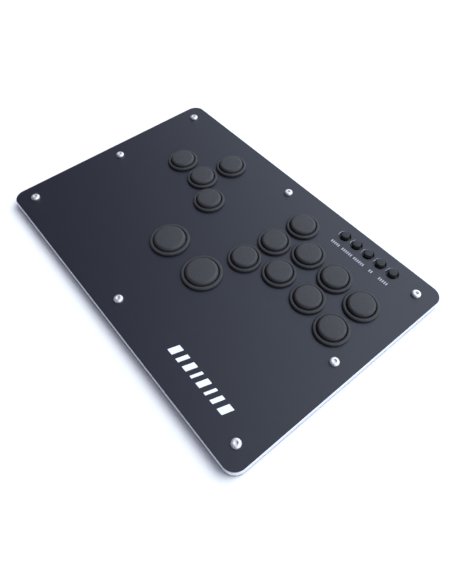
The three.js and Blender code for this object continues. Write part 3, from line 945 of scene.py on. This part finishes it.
def add_circuit_board():
    """One board with its switches, notched at the back for a screw's boss and the socket."""
    low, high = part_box("switch_board")
    socket_left = USB_LOW.x - SOCKET_GAP
    socket_right = USB_HIGH.x + SOCKET_GAP

    def outline(inset):
        left = low.x + inset
        right = high.x - inset
        front = low.y + inset
        back = high.y - inset
        notch = NOTCH_HALF + inset
        return fillet([
            (left, front, BOARD_CORNER), (right, front, BOARD_CORNER),
            (right, back, BOARD_CORNER), (notch, back, 0),
            (notch, NOTCH_END - inset, NOTCH_CORNER), (-notch, NOTCH_END - inset, NOTCH_CORNER),
            (-notch, back, 0), (socket_right + inset, back, 0),
            (socket_right + inset, USB_LOW.y - inset, 0), (socket_left - inset, USB_LOW.y - inset, 0),
            (socket_left - inset, back, 0), (left, back, BOARD_CORNER),
        ], closed=True)

    board = Solid()
    board.slab(outline, BOARD_TOP - BOARD_THICKNESS, BOARD_TOP, edge=0.05 * MM)
    place(board.build("circuit_board", BOARD_MASK), "case", "circuit_board", "switch_board")
    for name in PLUNGERS:
        switch = name.replace("plunger", "key_switch")
        piece = build_switch(switch, CHIP_BLACK, middle_of(name), KEY_SWITCH)
        place(piece, "case", "circuit_board")
    for number, name in enumerate(OPTIONS, 1):
        piece = build_switch(f"tact_switch_{number}", SCREW_STEEL, middle_of(name), TACT_SWITCH)
        place(piece, "case", "circuit_board")


def add_chip():
    """The controller chip, with a row of pins along its front and back."""
    solid = Solid()
    solid.box(CHIP_LOW, CHIP_HIGH, radius=0.2 * MM)
    rows = ((CHIP_LOW.y - PIN_REACH, CHIP_LOW.y), (CHIP_HIGH.y, CHIP_HIGH.y + PIN_REACH))
    for i in range(PINS_PER_SIDE):
        x = CHIP_LOW.x + (i + 0.5) * (CHIP_HIGH.x - CHIP_LOW.x) / PINS_PER_SIDE
        for front, back in rows:
            solid.box(
                Vector((x - PIN_HALF_WIDTH, front, CHIP_LOW.z)),
                Vector((x + PIN_HALF_WIDTH, back, CHIP_LOW.z + PIN_HEIGHT)),
                edge=0.02 * MM,
                finish=1,
            )
    place(solid.build("controller_package", CHIP_BLACK, SCREW_STEEL), "case", "chip_epoxy",
          "controller_chip")


add_face_plate()
add_frame()
add_base_plate()
add_feet()
add_case_screws()
add_board_screws()
add_buttons()
add_face_mark()
add_option_labels()
add_usb_socket()
add_circuit_board()
add_chip()

# ---- Studio -------------------------------------------------------------------------------------

SKY_DIM = (0.1, 0.085, 0.125)
SKY_BRIGHT = (1.35, 1.53, 1.83)
SKY_BRIGHT_TOWARDS = Vector((0.5, 0.8, 0.1)).normalized()
SKY_RAMP = (-0.3, 0.7)
BACKDROP = (0.95, 0.95, 0.97)
KEY_STRENGTH = 2.1
KEY_SPREAD = math.radians(40)
KEY_FROM = Vector((0.3, 0.6, 1))
FLOOR_SIZE = 12
FLOOR_CORNER = 0.5


def mix_colours(tree, factor, low, high):
    """Mixes two colours by another node's output, and returns the mix as an output."""
    node = tree.nodes.new("ShaderNodeMix")
    node.data_type = "RGBA"
    tree.links.new(factor, node.inputs["Factor"])
    for socket, colour in (("A", low), ("B", high)):
        if isinstance(colour, tuple):
            node.inputs[socket].default_value = (*colour, 1)
        else:
            tree.links.new(colour, node.inputs[socket])
    return node.outputs["Result"]


def add_sky():
    """Soft light that brightens towards the back and right, before a plain pale backdrop."""
    world = bpy.data.worlds.new("studio")
    world.use_nodes = True
    tree = world.node_tree
    direction = tree.nodes.new("ShaderNodeTexCoord").outputs["Generated"]
    along = tree.nodes.new("ShaderNodeVectorMath")
    along.operation = "DOT_PRODUCT"
    along.inputs[1].default_value = SKY_BRIGHT_TOWARDS
    ramp = tree.nodes.new("ShaderNodeMapRange")
    ramp.interpolation_type = "SMOOTHSTEP"
    ramp.inputs["From Min"].default_value = SKY_RAMP[0]
    ramp.inputs["From Max"].default_value = SKY_RAMP[1]
    tree.links.new(direction, along.inputs[0])
    tree.links.new(along.outputs["Value"], ramp.inputs["Value"])
    light = mix_colours(tree, ramp.outputs["Result"], SKY_DIM, SKY_BRIGHT)
    ray = tree.nodes.new("ShaderNodeLightPath")
    shown = mix_colours(tree, ray.outputs["Is Camera Ray"], light, BACKDROP)
    tree.links.new(shown, tree.nodes["Background"].inputs["Color"])
    bpy.context.scene.world = world


def add_floor():
    solid = Solid()
    solid.fill(solid.ring(rectangle(0, 0, FLOOR_SIZE, FLOOR_SIZE, FLOOR_CORNER), 0))
    solid.build("studio_floor", make_floor())


def add_key():
    """A large soft sun that lights the floor and the face but doesn't show in gloss."""
    key = bpy.data.lights.new("key", "SUN")
    key.energy = KEY_STRENGTH
    key.angle = KEY_SPREAD
    lamp = bpy.data.objects.new("key", key)
    lamp.rotation_euler = KEY_FROM.to_track_quat("Z", "Y").to_euler()
    lamp.visible_glossy = False
    bpy.context.scene.collection.objects.link(lamp)


add_sky()
add_floor()
bpy.context.scene.view_settings.view_transform = "Standard"
add_key()
